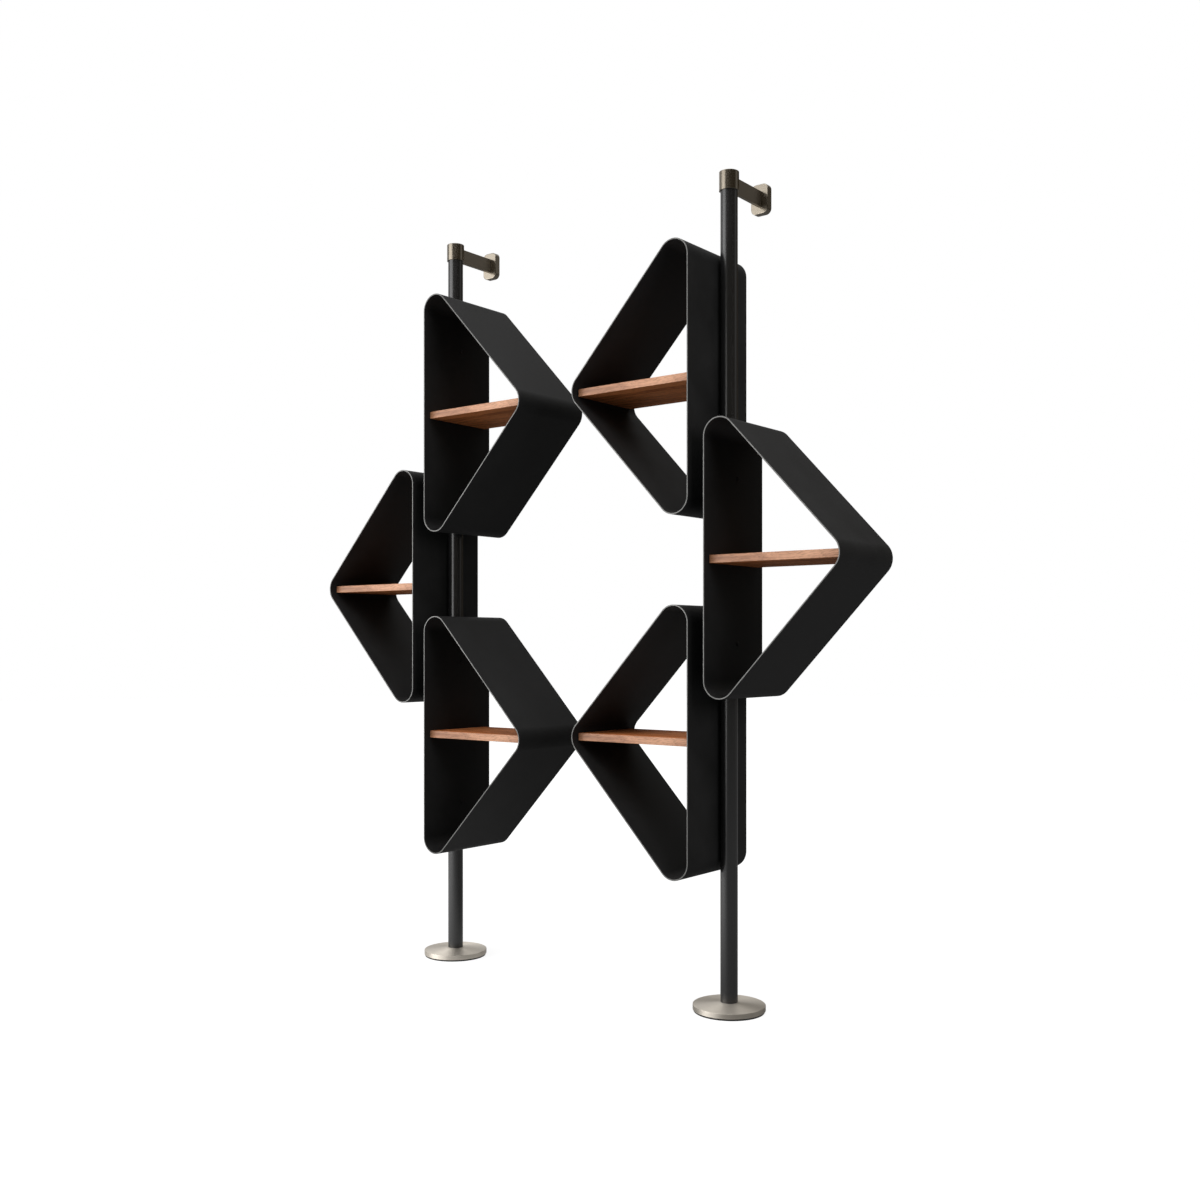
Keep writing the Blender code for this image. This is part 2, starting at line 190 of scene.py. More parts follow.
felt, felt_shader = new_finish("dense_felt", Roughness=FELT_ROUGHNESS, Sheen_Weight=FELT_SHEEN)
felt_fibre = speckle(felt, place_on_piece(felt), FELT_FIBRE_SCALE, detail=4.0)
feed(felt, felt_shader, "Base Color", tones(felt, felt_fibre, *FELT_TONES))
relief(felt, felt_shader, felt_fibre, FELT_NAP_DEPTH)

for side in SIDES:
    low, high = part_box(f"{side}_base_pad")
    radius = (high.x - low.x) / 2
    thick = high.z - low.z
    felt_outline = rounded(
        [(0.0, 0.0), (radius, 0.0), (radius, thick), (0.0, thick)],
        [0.0, FELT_EDGE_ROUND / 2, FELT_EDGE_ROUND, 0.0], FELT_EDGE_STEPS)
    pad = make_piece(f"{side}_felt_pad", turned(felt_outline, FELT_TURN_STEPS),
                     underside(low, high), felt)
    stand_in(pad, f"{side}_base_pad")

# Foot discs
# Each foot is a heavy steel disc turned on a lathe with a shallow cone on top, brushed in rings and
# nickel plated to a warm satin. The column stands on the flat at its middle.
FOOT_SEAT_RADIUS = 0.0285
FOOT_CONE_RISE = 0.0075
FOOT_EDGE_ROUND = 0.0010
FOOT_EDGE_STEPS = 5
FOOT_BORE = 0.0066
FOOT_TURN_STEPS = 192
FOOT_NICKEL = (0.74, 0.685, 0.605)
FOOT_TONE_SWING = 0.07
FOOT_ROUGHNESS = 0.50
FOOT_STREAK = 0.70
RING_BRUSH = (2600.0, 1.0, 2600.0)
BRUSH_DEPTH = 0.000001
BRUSH_STRENGTH = 0.5
ACROSS_BRUSH = 0.25
ROUGHNESS_SWING = 0.03
NOISE_LOW, NOISE_HIGH = 0.3, 0.7


def stretched(finish, coordinates, scale):
    """Coordinates drawn out or pressed together by a scale for each way."""
    return node(finish, "ShaderNodeVectorMath", [(0, coordinates), (1, scale)],
                operation="MULTIPLY").outputs[0]


def between(finish, amount, low, high, start=NOISE_LOW, end=NOISE_HIGH):
    """An amount carried over from its range of start to end to a range of low to high."""
    return node(finish, "ShaderNodeMapRange", [
        ("Value", amount), ("From Min", start), ("From Max", end), ("To Min", low), ("To Max", high),
    ]).outputs["Result"]


def vary(finish, shader, amount, stops, roughness):
    """Let an amount carry the colour through its stops and the roughness from one value to another."""
    feed(finish, shader, "Base Color", tones(finish, amount, *stops))
    feed(finish, shader, "Roughness", between(finish, amount, *roughness))


def satin_nickel(name, tone, swing, roughness, streak, lay, brush_scale):
    """Brushed nickel: lay turns a place on the piece into a place along and across the brush marks."""
    finish, shader = new_finish(name, Metallic=1.0, Anisotropic=streak, Anisotropic_Rotation=ACROSS_BRUSH)
    along = lay(finish, place_on_piece(finish))
    marks = speckle(finish, stretched(finish, along, brush_scale), 1.0, detail=3.0, rough=0.6)
    deep = tuple(part * (1 - swing) for part in tone)
    bright = tuple(part * (1 + swing) for part in tone)
    vary(finish, shader, marks, ((NOISE_LOW, deep), (NOISE_HIGH, bright)),
         (roughness + ROUGHNESS_SWING, roughness - ROUGHNESS_SWING))
    relief(finish, shader, marks, BRUSH_DEPTH, BRUSH_STRENGTH)
    return finish, shader


def ring_lay(finish, place):
    """Brush marks run in rings round the piece's own axis."""
    flat = stretched(finish, place, (1.0, 1.0, 0.0))
    radius = node(finish, "ShaderNodeVectorMath", [(0, flat)], operation="LENGTH").outputs["Value"]
    height = node(finish, "ShaderNodeSeparateXYZ", [(0, place)]).outputs["Z"]
    return node(finish, "ShaderNodeCombineXYZ", [("X", radius), ("Z", height)]).outputs[0]


def follow_rings(finish, shader):
    """Let the sheen follow the rings that the brush left."""
    rings = node(finish, "ShaderNodeTangent", direction_type="RADIAL", axis="Z")
    feed(finish, shader, "Tangent", rings.outputs["Tangent"])


foot_nickel, foot_shader = satin_nickel(
    "ring_brushed_nickel", FOOT_NICKEL, FOOT_TONE_SWING, FOOT_ROUGHNESS, FOOT_STREAK, ring_lay, RING_BRUSH)
follow_rings(foot_nickel, foot_shader)

for side in SIDES:
    low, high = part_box(f"{side}_base_disc")
    radius = (high.x - low.x) / 2
    rise = high.z - low.z
    rim = rise - FOOT_CONE_RISE
    disc_outline = rounded(
        [(FOOT_BORE, 0.0), (radius, 0.0), (radius, rim), (FOOT_SEAT_RADIUS, rise), (FOOT_BORE, rise)],
        [0.0, FOOT_EDGE_ROUND, FOOT_EDGE_ROUND, 0.0, 0.0], FOOT_EDGE_STEPS)
    disc = make_piece(f"{side}_foot_disc", turned(disc_outline, FOOT_TURN_STEPS),
                      underside(low, high), foot_nickel)
    stand_in(disc, f"{side}_base_disc")

# Foot bolts and plugs
# A countersunk bolt comes up through each disc into a steel plug pressed in the column's lower end.
# They are plain zinc-plated steel, out of sight once the column stands.
STEEL_TONES = ((0.3, (0.24, 0.24, 0.245)), (0.7, (0.46, 0.46, 0.47)))
STEEL_ROUGHNESS = (0.52, 0.34)
STEEL_BLOOM_SCALE = 180.0
STEEL_BLOOM_DEPTH = 0.00005

plain_steel, steel_shader = new_finish("plain_plated_steel", Metallic=1.0)
steel_bloom = speckle(plain_steel, place_on_piece(plain_steel), STEEL_BLOOM_SCALE, detail=5.0, rough=0.65)
vary(plain_steel, steel_shader, steel_bloom, STEEL_TONES, STEEL_ROUGHNESS)
relief(plain_steel, steel_shader, steel_bloom, STEEL_BLOOM_DEPTH)


def finish_node(name, finish):
    """Give a part that keeps its own solid its real finish."""
    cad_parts[name].material_slots[0].material = finish


for side in SIDES:
    finish_node(f"{side}_base_bolt", plain_steel)
    finish_node(f"{side}_foot_plug", plain_steel)

# Columns
# Each column is one length of round steel tube, sanded and sprayed with satin black lacquer.
# It stands on the foot disc and its top goes up inside the cap.
TUBE_WALL = 0.003
TUBE_END_ROUND = 0.0006
TUBE_END_STEPS = 3
TUBE_TURN_STEPS = 128
TUBE_TONES = ((0.3, (0.0085, 0.0085, 0.0090)), (0.7, (0.0135, 0.0135, 0.0140)))
TUBE_GLOSS = 0.92
TUBE_ROUGHNESS = (0.22, 0.28)
TUBE_TOUCH_SCALE = (9.0, 9.0, 2.5)
TUBE_PEEL_SCALE = 420.0
TUBE_PEEL_DEPTH = 0.00002
TUBE_PEEL_STRENGTH = 0.4

tube_lacquer, tube_shader = new_finish("satin_black_lacquer", Specular_IOR_Level=TUBE_GLOSS)
tube_place = place_on_piece(tube_lacquer)
tube_peel = speckle(tube_lacquer, tube_place, TUBE_PEEL_SCALE)
tube_touch = speckle(tube_lacquer, stretched(tube_lacquer, tube_place, TUBE_TOUCH_SCALE), 1.0, detail=4.0)
vary(tube_lacquer, tube_shader, tube_touch, TUBE_TONES, TUBE_ROUGHNESS)
relief(tube_lacquer, tube_shader, tube_peel, TUBE_PEEL_DEPTH, TUBE_PEEL_STRENGTH)

for side in SIDES:
    low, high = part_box(f"{side}_column")
    radius = (high.x - low.x) / 2
    bore = radius - TUBE_WALL
    length = high.z - low.z
    tube_outline = rounded(
        [(bore, 0.0), (radius, 0.0), (radius, length), (bore, length)],
        [0.0, TUBE_END_ROUND, TUBE_END_ROUND, 0.0], TUBE_END_STEPS)
    column = make_piece(f"{side}_column_tube", turned(tube_outline, TUBE_TURN_STEPS),
                        underside(low, high), tube_lacquer)
    stand_in(column, f"{side}_column")

# Caps
# A sleeve cap, turned from bar and plated like the feet, closes the top of each column. Its nickel, like the
# brackets', is a darker copy of the feet's: painted shade for the dark room the head fittings mirror.
# A small set screw from behind clamps it on the tube.
CAP_LID = 0.008
CAP_SLEEVE = 0.0037
CAP_TOP_ROUND = 0.0014
CAP_LIP_ROUND = 0.0007
CAP_EDGE_STEPS = 4
CAP_TURN_STEPS = 128
# A darker copy of the feet's nickel: painted shade for the dark room the caps and brackets mirror.
SHADED_HEAD_NICKEL = (0.29, 0.256, 0.208)
HEAD_TONE_SWING = 0.03
HEAD_ROUGHNESS = 0.25
HEAD_STREAK = 0.0


def shaded_head_nickel(name, roughness, lay, brush_scale):
    """The caps' and brackets' nickel, a darker copy of the feet's with painted shade, brushed each in its
    own way.
    """
    return satin_nickel(name, SHADED_HEAD_NICKEL, HEAD_TONE_SWING, roughness, HEAD_STREAK, lay, brush_scale)


cap_nickel, cap_shader = shaded_head_nickel("ring_brushed_shaded_nickel", HEAD_ROUGHNESS, ring_lay, RING_BRUSH)
follow_rings(cap_nickel, cap_shader)

for side in SIDES:
    low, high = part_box(f"{side}_top_cap")
    radius = (high.x - low.x) / 2
    bore = radius - CAP_SLEEVE
    tall = high.z - low.z
    ceiling = tall - CAP_LID
    cap_outline = rounded(
        [(0.0, ceiling), (bore, ceiling), (bore, 0.0), (radius, 0.0), (radius, tall), (0.0, tall)],
        [0.0, 0.0, 0.0, CAP_LIP_ROUND, CAP_TOP_ROUND, 0.0], CAP_EDGE_STEPS)
    cap = make_piece(f"{side}_sleeve_cap", turned(cap_outline, CAP_TURN_STEPS),
                     underside(low, high), cap_nickel)
    stand_in(cap, f"{side}_top_cap")
    finish_node(f"{side}_cap_screw", plain_steel)

# Wall brackets
# A flat bar runs from each cap back to a thick round-cornered plate. The bar's front end is milled to
# the cap's round and its back end is screwed through the plate, which hides a second plate on the wall.
ARM_ARRIS = 0.0009
ARM_ARC_STEPS = 16
ARM_BRUSH = (2200.0, 14.0, 2200.0)
ARM_ROUGHNESS = 0.52
CAP_CLEARANCE = 0.0003
ON_SIDE_FACE = 0.999
LONG_EDGE_SHARE = 0.25
ARRIS_STEPS = 3
ARRIS_ROUND = 0.5
PLATE_CORNER = 0.018
PLATE_CORNER_STEPS = 14
PLATE_FRONT_ROUND = 0.0022
PLATE_FRONT_STEPS = 5
PLATE_FACE = 0.007
PLATE_WALL = 0.009
PLATE_BRUSH = (2200.0, 2200.0, 14.0)


def lengthways(finish, place):
    """Brush marks run straight: the brush scale alone says along which way."""
    return place


arm_nickel, _ = shaded_head_nickel("long_brushed_shaded_nickel", ARM_ROUGHNESS, lengthways, ARM_BRUSH)
plate_nickel, _ = shaded_head_nickel("upright_brushed_shaded_nickel", HEAD_ROUGHNESS, lengthways, PLATE_BRUSH)


def ease(bm, edges, arris):
    """Take the sharpness off some edges with a small round."""
    bmesh.ops.bevel(bm, geom=edges, offset=arris, segments=ARRIS_STEPS, affect="EDGES", profile=ARRIS_ROUND)


def arm_shape(cap_radius, half_width, reach, tall):
    """A flat bar along Y whose near end is hollowed to fit against the cap."""
    sweep = math.asin(half_width / cap_radius)
    hollow = []
    for step in range(ARM_ARC_STEPS + 1):
        turn = sweep * (2 * step / ARM_ARC_STEPS - 1)
        hollow.append((cap_radius * math.sin(turn), cap_radius * math.cos(turn)))
    plan = hollow + [(half_width, reach), (-half_width, reach)]
    bm = bmesh.new()
    foot = [bm.verts.new((x, y, 0.0)) for x, y in plan]
    head = [bm.verts.new((x, y, tall)) for x, y in plan]
    bm.faces.new(foot)
    bm.faces.new(head)
    for i in range(len(plan)):
        bm.faces.new((foot[i - 1], foot[i], head[i], head[i - 1]))
    side_face = half_width * ON_SIDE_FACE
    long_edges = [edge for edge in bm.edges
                  if abs(edge.verts[0].co.x) > side_face
                  and abs(edge.verts[1].co.x) > side_face
                  and abs(edge.verts[0].co.y - edge.verts[1].co.y) > reach * LONG_EDGE_SHARE]
    ease(bm, long_edges, ARM_ARRIS)
    return bm


def plate_shape(half_width, half_height, thick):
    """A round-cornered plate facing -Y with a soft front edge, hollowed out from the back."""
    def ring(inset):
        wide = half_width - inset
        high = half_height - inset
        corners = [(wide, -high), (wide, high), (-wide, high), (-wide, -high)]
        return rounded(corners, [PLATE_CORNER - inset] * 4, PLATE_CORNER_STEPS)

    layers = []
    for step in range(PLATE_FRONT_STEPS + 1):
        turn = math.pi / 2 * step / PLATE_FRONT_STEPS
        inset = PLATE_FRONT_ROUND * (1 - math.sin(turn))
        layers.append((inset, PLATE_FRONT_ROUND * (1 - math.cos(turn))))
    layers += [(0.0, thick), (PLATE_WALL, thick), (PLATE_WALL, PLATE_FACE)]
    bm = bmesh.new()
    rings = [[bm.verts.new((x, depth, z)) for x, z in ring(inset)] for inset, depth in layers]
    for near, far in zip(rings, rings[1:]):
        for i in range(len(near)):
            bm.faces.new((near[i - 1], near[i], far[i], far[i - 1]))
    bm.faces.new(rings[0])
    bm.faces.new(rings[-1])
    return bm


for side in SIDES:
    cap_low, cap_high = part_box(f"{side}_top_cap")
    axis = (cap_low + cap_high) / 2
    hollow_radius = (cap_high.x - cap_low.x) / 2 + CAP_CLEARANCE
    low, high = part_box(f"{side}_wall_arm")
    arm = make_piece(
        f"{side}_bracket_arm",
        arm_shape(hollow_radius, (high.x - low.x) / 2, high.y - axis.y, high.z - low.z),
        (axis.x, axis.y, low.z), arm_nickel)
    stand_in(arm, f"{side}_wall_arm")

    low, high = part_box(f"{side}_wall_plate")
    plate = make_piece(
        f"{side}_bracket_plate",
        plate_shape((high.x - low.x) / 2, (high.z - low.z) / 2, high.y - low.y),
        (axis.x, low.y, (low.z + high.z) / 2), plate_nickel)
    stand_in(plate, f"{side}_wall_plate")
    for hidden in ("fixing_plate", "arm_screw", "plate_screw"):
        finish_node(f"{side}_{hidden}", plain_steel)

# Shelf bands
# Each band is one strip of sheet steel bent to a rounded triangle, closed with a weld that is ground
# flush, and powder coated matt black. The cut edges catch the light; they take a paler, part-metal copy of
# the coat, a painted highlight that adds to their glint.
BANDS = {
    "upper_left": 1, "middle_left": -1, "lower_left": 1,
    "upper_right": -1, "middle_right": 1, "lower_right": -1,
}
BAND_REACH = 0.464
BAND_HALF_HEIGHT = 0.493
BAND_SHEET = 0.004
BEND_RADIUS = 0.054
APEX_RADIUS = 0.056
BEND_STEPS = 28
EDGE_ROUND = 0.0009
EDGE_STEPS = 3
COAT_TONES = ((0.32, (0.0132, 0.0132, 0.0135)), (0.72, (0.0228, 0.0228, 0.0231)))
COAT_GLOSS = 0.15
COAT_ROUGHNESS = (0.54, 0.64)
COAT_CLOUD_SCALE = 7.0
COAT_GRAIN_SCALE = 1700.0
COAT_GRAIN_DEPTH = 0.00004
COAT_GRAIN_STRENGTH = 0.4
EDGE_GLINT_TONES = ((0.30, (0.094, 0.094, 0.092)), (0.52, (0.130, 0.129, 0.125)))
EDGE_METAL = 0.5
EDGE_ROUGHNESS = (0.48, 0.34)
EDGE_MOTTLE_SCALE = 45.0
EDGE_GRAIN_SCALE = 2400.0
EDGE_GRAIN_DEPTH = 0.00004

band_coat, coat_shader = new_finish("matt_black_powder_coat", Specular_IOR_Level=COAT_GLOSS)
coat_place = place_on_piece(band_coat)
coat_grain = speckle(band_coat, coat_place, COAT_GRAIN_SCALE)
coat_cloud = speckle(band_coat, coat_place, COAT_CLOUD_SCALE, detail=4.0, rough=0.6)
vary(band_coat, coat_shader, coat_cloud, COAT_TONES, COAT_ROUGHNESS)
relief(band_coat, coat_shader, coat_grain, COAT_GRAIN_DEPTH, COAT_GRAIN_STRENGTH)

# The edges' paler, part-metal copy of the coat is a painted highlight that adds to their glint.
glint_edge, glint_edge_shader = new_finish("painted_glint_edge", Metallic=EDGE_METAL)
edge_place = place_on_piece(glint_edge)
edge_mottle = speckle(glint_edge, edge_place, EDGE_MOTTLE_SCALE, detail=5.0, rough=0.7)
vary(glint_edge, glint_edge_shader, edge_mottle, EDGE_GLINT_TONES, EDGE_ROUGHNESS)
relief(glint_edge, glint_edge_shader, speckle(glint_edge, edge_place, EDGE_GRAIN_SCALE), EDGE_GRAIN_DEPTH)


def band_outline(inset):
    """The band's rounded triangle in X and Z, drawn inside its outer face by an inset."""
    slope = math.hypot(BAND_REACH, BAND_HALF_HEIGHT)
    shrink = 1 - inset * slope / (BAND_REACH * BAND_HALF_HEIGHT)
    tip = BAND_HALF_HEIGHT * (shrink - inset / BAND_REACH)
    corners = [(inset, tip), (inset, -tip), (BAND_REACH * shrink, 0.0)]
    radii = [BEND_RADIUS - inset, BEND_RADIUS - inset, APEX_RADIUS - inset]
    return rounded(corners, radii, BEND_STEPS)


def band_shape(way, depth):
    """The bent strip, from the section of its sheet carried round the triangle."""
    section = rounded(
        [(0.0, 0.0), (BAND_SHEET, 0.0), (BAND_SHEET, depth), (0.0, depth)],
        [EDGE_ROUND] * 4, EDGE_STEPS)
    bm = bmesh.new()
    hoops = [[bm.verts.new((way * x, y, z)) for x, z in band_outline(inset)] for inset, y in section]
    for i, hoop in enumerate(hoops):
        before = hoops[i - 1]
        middle = (section[i][1] + section[i - 1][1]) / 2
        for j in range(len(hoop)):
            face = bm.faces.new((before[j - 1], before[j], hoop[j], hoop[j - 1]))
            face.material_index = int(min(middle, depth - middle) < EDGE_ROUND)
    return bm


for name, way in BANDS.items():
    low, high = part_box(f"{name}_band")
    root_x = low.x if way > 0 else high.x
    band = make_piece(f"{name}_bent_band", band_shape(way, high.y - low.y),
                      (root_x, low.y, (low.z + high.z) / 2), band_coat, glint_edge)
    stand_in(band, f"{name}_band")

# Band bolts
# Two low-headed bolts go through each band's upright side into bosses in the column.
# They are coated with the band, so they are lost in its dark inside.
for name in BANDS:
    for bolt in ("upper_bolt", "lower_bolt"):
        finish_node(f"{name}_{bolt}", band_coat)

# Shelf tabs
# Two flat steel tabs are welded inside each band, one at the upright side and one at the apex.
# The shelf's grooved ends slide over them from the front, so no fixing shows.
for name in BANDS:
    for tab in ("root_tab", "apex_tab"):
        finish_node(f"{name}_{tab}", plain_steel)

# Shelves
# Each shelf is a solid board of oiled walnut with its grain along its length, its arrises eased with
# sandpaper and its long edges waxed to a higher gloss. The edges are also tinted paler, which is painted
# light for their lit fronts, and the faces are tinted redder and fuller, which is painted shade for the
# shaded undersides. Both ends are grooved from the back for the tabs, short of the front.
SHELF_ARRIS = 0.0012
GROOVE_DEPTH = 0.014
GROOVE_HEIGHT = 0.006
GROOVE_STOP = 0.045
WALNUT_TONES = (
    (0.34, (0.230, 0.086, 0.036)), (0.45, (0.420, 0.176, 0.086)),
    (0.55, (0.540, 0.245, 0.128)), (0.68, (0.640, 0.315, 0.175)),
)
# The faces' redder, fuller tint is painted shade; the edges' paler tint is painted light.
BOARD_FACE_SHADE_TINT = (1.38, 1.06, 0.72)
BOARD_FACE_SHINE = 0.05
BOARD_FACE_ROUGHNESS = (0.74, 0.62)
BOARD_EDGE_LIGHT_TINT = (1.22, 1.36, 1.46)
BOARD_EDGE_SHINE = 0.5
BOARD_EDGE_ROUGHNESS = (0.60, 0.44)
GRAIN_BEND_SCALE = (2.2, 6.0, 6.0)
GRAIN_WANDER = (0.0, 0.11, 0.05)
YEARS_SCALE = (1.3, 62.0, 62.0)
FIGURE_SCALE = (0.9, 13.0, 13.0)
FIGURE_SHARE = 0.45
PORES_SCALE = (26.0, 900.0, 900.0)
PORE_SHADE = (0.55, 1.0)
PORE_SHADE_RANGE = (0.36, 0.50)
PORE_ROUGH_RANGE = (0.35, 0.60)
PORE_DEPTH = 0.00012
PORE_STRENGTH = 0.7
LONG_EDGE_FACING = 0.5


def scaled(finish, vector, amount):
    """A colour or a direction made larger or smaller by an amount."""
    return node(finish, "ShaderNodeVectorMath", [(0, vector), ("Scale", amount)],
                operation="SCALE").outputs[0]


def oiled_walnut(name, tint, shine, roughness):
    """Walnut with its grain along X: tint, gloss, and roughness in the pores and off them."""
    finish, shader = new_finish(name, Specular_IOR_Level=shine)
    place = place_on_piece(finish)
    bend = speckle(finish, stretched(finish, place, GRAIN_BEND_SCALE), 1.0)
    wander = scaled(finish, GRAIN_WANDER, bend)
    grain = node(finish, "ShaderNodeVectorMath", [(0, place), (1, wander)], operation="ADD").outputs[0]
    years = speckle(finish, stretched(finish, grain, YEARS_SCALE), 1.0, detail=3.0, rough=0.55)
    figure = speckle(finish, stretched(finish, grain, FIGURE_SCALE), 1.0)
    pores = speckle(finish, stretched(finish, grain, PORES_SCALE), 1.0)
    growth = node(finish, "ShaderNodeMix", [(0, FIGURE_SHARE), (2, years), (3, figure)],
                  data_type="FLOAT").outputs[0]
    wood = stretched(finish, tones(finish, growth, *WALNUT_TONES), tint)
    pore_shade = between(finish, pores, *PORE_SHADE, *PORE_SHADE_RANGE)
    feed(finish, shader, "Base Color", scaled(finish, wood, pore_shade))
    feed(finish, shader, "Roughness", between(finish, pores, *roughness, *PORE_ROUGH_RANGE))
    relief(finish, shader, pores, PORE_DEPTH, PORE_STRENGTH)
    return finish


board_face = oiled_walnut("walnut_face_painted_shade", BOARD_FACE_SHADE_TINT, BOARD_FACE_SHINE, BOARD_FACE_ROUGHNESS)
board_edge = oiled_walnut("walnut_edge_painted_light", BOARD_EDGE_LIGHT_TINT, BOARD_EDGE_SHINE, BOARD_EDGE_ROUGHNESS)


def box_shape(low, high, arris=0.0):
    """A plain box between two corners, its edges eased where an arris is given."""
    bm = bmesh.new()
    bmesh.ops.create_cube(bm, size=1.0)
    size = Vector(high) - Vector(low)
    bm.transform(Matrix.Translation((Vector(high) + Vector(low)) / 2) @ Matrix.Diagonal((*size, 1.0)))
    if arris:
        ease(bm, bm.edges[:], arris)
    return bm


def cut_out(board, low, high):
    """Take a box away from a board and leave nothing of the cutter behind."""
    cutter_mesh = bpy.data.meshes.new("groove_cutter")
    bm = box_shape(low, high)
    bm.to_mesh(cutter_mesh)
    bm.free()
    cutter = bpy.data.objects.new("groove_cutter", cutter_mesh)
    cutter.location = board.location
    bpy.context.collection.objects.link(cutter)
    cut = board.modifiers.new("groove", "BOOLEAN")
    cut.operation = "DIFFERENCE"
    cut.solver = "EXACT"
    cut.object = cutter
    board.modifiers.move(len(board.modifiers) - 1, 0)
    with bpy.context.temp_override(object=board, active_object=board):
        bpy.ops.object.modifier_apply(modifier=cut.name)
    bpy.data.objects.remove(cutter, do_unlink=True)


for name in BANDS:
    low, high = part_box(f"{name}_shelf")
    half = (high - low) / 2
    shelf = make_piece(f"{name}_walnut_shelf", box_shape(-half, half, SHELF_ARRIS), (low + high) / 2,
                       board_face, board_edge)
    for end in (-half.x, half.x):
        cut_out(shelf, (end - GROOVE_DEPTH, GROOVE_STOP - half.y, -GROOVE_HEIGHT / 2),
                (end + GROOVE_DEPTH, 2 * half.y, GROOVE_HEIGHT / 2))
    for face in shelf.data.polygons:
        face.material_index = int(abs(face.normal.y) > LONG_EDGE_FACING)
    stand_in(shelf, f"{name}_shelf")

# Floor
# A plain pale studio floor that runs on into the white backdrop and takes the bookcase's soft shadow.
# Lacquer and metal mirror it dim, except for a painted pool of light in front on the left, where the soft
# box would light the floor; only reflections show it.
FLOOR_RADIUS = 24.0
FLOOR_STEPS = 96
FLOOR_ROUGHNESS = 0.9
FLOOR_TONES = ((0.3, (0.20, 0.20, 0.20)), (0.7, (0.22, 0.22, 0.22)))
FLOOR_DUST_SCALE = 3.0
FLOOR_LIFT = (0.88, 1.0)
FLOOR_LIFT_RANGE = (1.6, 4.0)
# A painted pool of light: the floor glows brighter in reflections near the soft box.
PAINTED_POOL = (-1.8, -1.6, 0.0)
PAINTED_POOL_RANGE = (0.9, 2.8)
PAINTED_POOL_MIRRORED = (1.0, 0.05)
WHITE = (1.0, 1.0, 1.0)

bm = bmesh.new()
bmesh.ops.create_circle(bm, cap_ends=True, radius=FLOOR_RADIUS, segments=FLOOR_STEPS)
floor_mesh = bpy.data.meshes.new("studio_floor")
bm.to_mesh(floor_mesh)
bm.free()
floor = bpy.data.objects.new("studio_floor", floor_mesh)
bpy.context.collection.objects.link(floor)
pale_floor, floor_shader = new_finish("pale_floor", Roughness=FLOOR_ROUGHNESS, Specular_IOR_Level=0.0,
                                      Emission_Color=(*WHITE, 1.0))
floor_place = place_on_piece(pale_floor)
floor_dust = speckle(pale_floor, floor_place, FLOOR_DUST_SCALE)
feed(pale_floor, floor_shader, "Base Color", tones(pale_floor, floor_dust, *FLOOR_TONES))


def worked_out(finish, operation, one, other):
    """One amount worked out from two."""
    return node(finish, "ShaderNodeMath", [(0, one), (1, other)], operation=operation).outputs[0]


def seen_straight_or_mirrored(finish, mirrored):
    """One for a ray from the camera or through glass, mirrored for one off metal, none for soft light."""
    ray = node(finish, "ShaderNodeLightPath").outputs
    clear = worked_out(finish, "MAXIMUM", ray["Is Camera Ray"], ray["Is Transmission Ray"])
    off_metal = worked_out(finish, "MULTIPLY", ray["Is Glossy Ray"], mirrored)
    return worked_out(finish, "MAXIMUM", clear, off_metal)


from_pool = node(pale_floor, "ShaderNodeVectorMath", [(0, floor_place), (1, PAINTED_POOL)],
                 operation="DISTANCE").outputs["Value"]
painted_pool_in_metal = between(pale_floor, from_pool, *PAINTED_POOL_MIRRORED, *PAINTED_POOL_RANGE)
from_middle = node(pale_floor, "ShaderNodeVectorMath", [(0, floor_place)],
                   operation="LENGTH").outputs["Value"]
lift = between(pale_floor, from_middle, *FLOOR_LIFT, *FLOOR_LIFT_RANGE)
feed(pale_floor, floor_shader, "Emission Strength",
     worked_out(pale_floor, "MULTIPLY", seen_straight_or_mirrored(pale_floor, painted_pool_in_metal), lift))
floor_mesh.materials.append(pale_floor)

# Studio light
# A wide soft box with a dimmer top stands in front and to the left, and two weaker ones at its right edge
# let highlights fade. A fill on the right, a lamp overhead, the left backdrop and the ceiling lift the rest.
# Metal mirrors the white backdrop behind on the left and a dim far wall on the right.
ROOM_DIM = 0.045
ROOM_WARM = (1.0, 0.78, 0.44)
CEILING_LIGHT = 1.1
CEILING_RANGE = (0.45, 1.0)
LEFT_LIGHT = 0.45
LEFT_RANGE = (-0.20, -0.80)
BACKDROP_WAY = (-0.723, 0.506, 0.469)
BACKDROP_IN_METAL = 1.0
BACKDROP_RANGE = (0.90, 0.98)
FAR_WALL_WAY = (0.741, 0.611, 0.280)
FAR_WALL_IN_METAL = 0.28
FAR_WALL_RANGE = (0.93, 1.0)
SOFT_BOX_AZIMUTH = math.radians(-28)
SOFT_BOX_DISTANCE = 5.2
# Each soft box: width, height, place across, height of its middle, power, and whether metal mirrors it
SOFT_BOXES = {
    "soft_box": (2.9, 2.9, -1.45, 1.65, 142.0, True),
    "soft_box_top": (2.9, 1.7, -1.45, 3.95, 33.0, True),
    "weak_soft_box": (1.8, 4.6, 0.90, 2.5, 57.0, True),
    "side_soft_box": (1.4, 3.1, 2.50, 1.75, 33.0, True),
    "side_soft_box_top": (1.4, 1.5, 2.50, 4.05, 24.0, False),
}
FILL_PLACE = (4.8, -1.0, 2.8)
FILL_AIM = (0.0, 0.0, 1.3)
FILL_SIZE = 2.5
FILL_POWER = 68.0
OVERHEAD_PLACE = (0.3, -1.4, 4.2)
OVERHEAD_SIZE = 2.6
OVERHEAD_POWER = 36.0
UPRIGHT = math.radians(90)

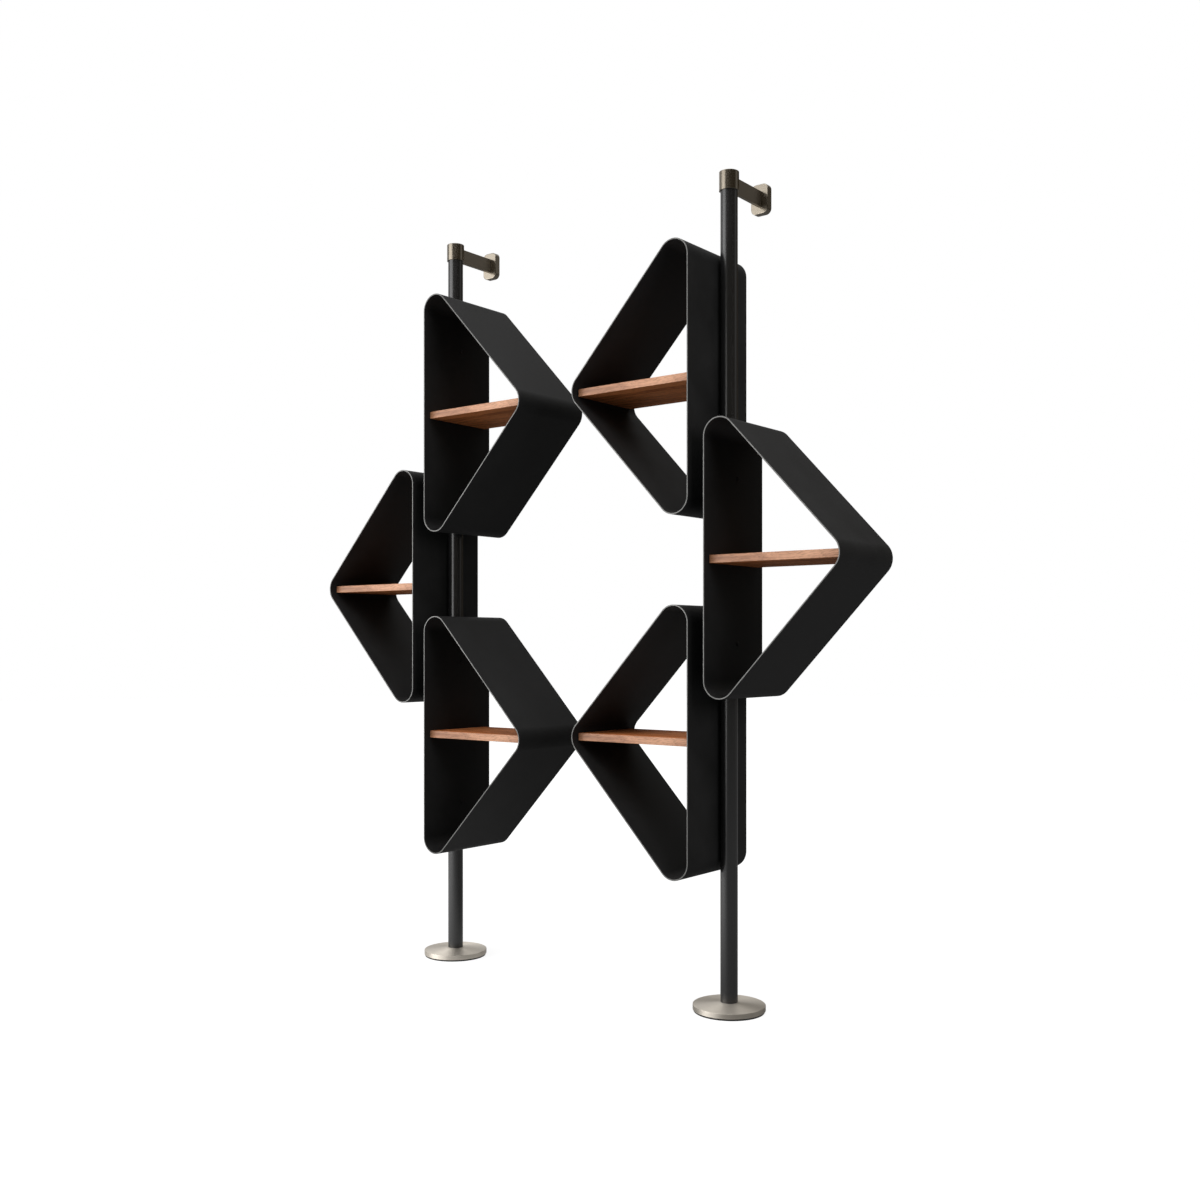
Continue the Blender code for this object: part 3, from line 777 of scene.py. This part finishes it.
studio = bpy.data.worlds.new("studio")
bpy.context.scene.world = studio
studio.use_nodes = True
backdrop = studio.node_tree.nodes["Background"]
look = node(studio, "ShaderNodeTexCoord").outputs["Generated"]
look_parts = node(studio, "ShaderNodeSeparateXYZ", [(0, look)]).outputs
left_light = between(studio, look_parts["X"], 0.0, LEFT_LIGHT, *LEFT_RANGE)
top_light = between(studio, look_parts["Z"], 0.0, CEILING_LIGHT, *CEILING_RANGE)
room_light = worked_out(studio, "MAXIMUM", left_light, top_light)


def mirrored_patch(way, strength, edge):
    """A soft round patch of the room that only metal mirrors, in the direction way."""
    toward = node(studio, "ShaderNodeVectorMath", [(0, look), (1, way)],
                  operation="DOT_PRODUCT").outputs["Value"]
    return between(studio, toward, 0.0, strength, *edge)


mirrored_room = worked_out(
    studio, "MAXIMUM",
    mirrored_patch(BACKDROP_WAY, BACKDROP_IN_METAL, BACKDROP_RANGE),
    mirrored_patch(FAR_WALL_WAY, FAR_WALL_IN_METAL, FAR_WALL_RANGE))
white = worked_out(studio, "MAXIMUM", seen_straight_or_mirrored(studio, mirrored_room), room_light)
dim_tone = tuple(ROOM_DIM * tone for tone in ROOM_WARM)
feed(studio, backdrop, "Color", tones(studio, white, (0.0, dim_tone), (1.0, WHITE)))


def soft_light(name, wide, tall, power, place, turn, mirrored):
    """A lamp behind a flat diffuser, out of the camera's sight, that metal mirrors or not."""
    lamp = bpy.data.lights.new(name, "AREA")
    lamp.shape = "RECTANGLE"
    lamp.size = wide
    lamp.size_y = tall
    lamp.energy = power
    light = bpy.data.objects.new(name, lamp)
    light.location = place
    light.rotation_euler = turn
    light.visible_camera = False
    light.visible_glossy = mirrored
    bpy.context.collection.objects.link(light)


away = Vector((math.sin(SOFT_BOX_AZIMUTH), -math.cos(SOFT_BOX_AZIMUTH), 0.0))
across = Vector((math.cos(SOFT_BOX_AZIMUTH), math.sin(SOFT_BOX_AZIMUTH), 0.0))
for name, (wide, tall, offset, height, power, mirrored) in SOFT_BOXES.items():
    place = away * SOFT_BOX_DISTANCE + across * offset + Vector((0.0, 0.0, height))
    soft_light(name, wide, tall, power, place, (UPRIGHT, 0.0, SOFT_BOX_AZIMUTH), mirrored)
fill_turn = (Vector(FILL_AIM) - Vector(FILL_PLACE)).to_track_quat("-Z", "Y").to_euler()
soft_light("fill", FILL_SIZE, FILL_SIZE, FILL_POWER, FILL_PLACE, fill_turn, False)
soft_light("overhead", OVERHEAD_SIZE, OVERHEAD_SIZE, OVERHEAD_POWER, OVERHEAD_PLACE, (0.0, 0.0, 0.0), True)

# Camera
# It stands in front and to the right at chest height and looks level across both columns.
# A small upward shift, as on a view camera, takes in the bookcase from foot to cap.
CAMERA_PLACE = (2.6718, -3.3207, 1.1131)
CAMERA_TURN = math.radians(38.005)
CAMERA_SHIFT = (-0.0004, 0.03792)
LENS_MM = 38.390
SENSOR_MM = 36.0

camera_data = bpy.data.cameras.new("camera")
camera_data.sensor_width = SENSOR_MM
camera_data.lens = LENS_MM
camera_data.shift_x, camera_data.shift_y = CAMERA_SHIFT
camera = bpy.data.objects.new("camera", camera_data)
camera.location = CAMERA_PLACE
camera.rotation_euler = (UPRIGHT, 0.0, CAMERA_TURN)
bpy.context.collection.objects.link(camera)
bpy.context.scene.camera = camera
bpy.context.scene.view_settings.view_transform = "Standard"
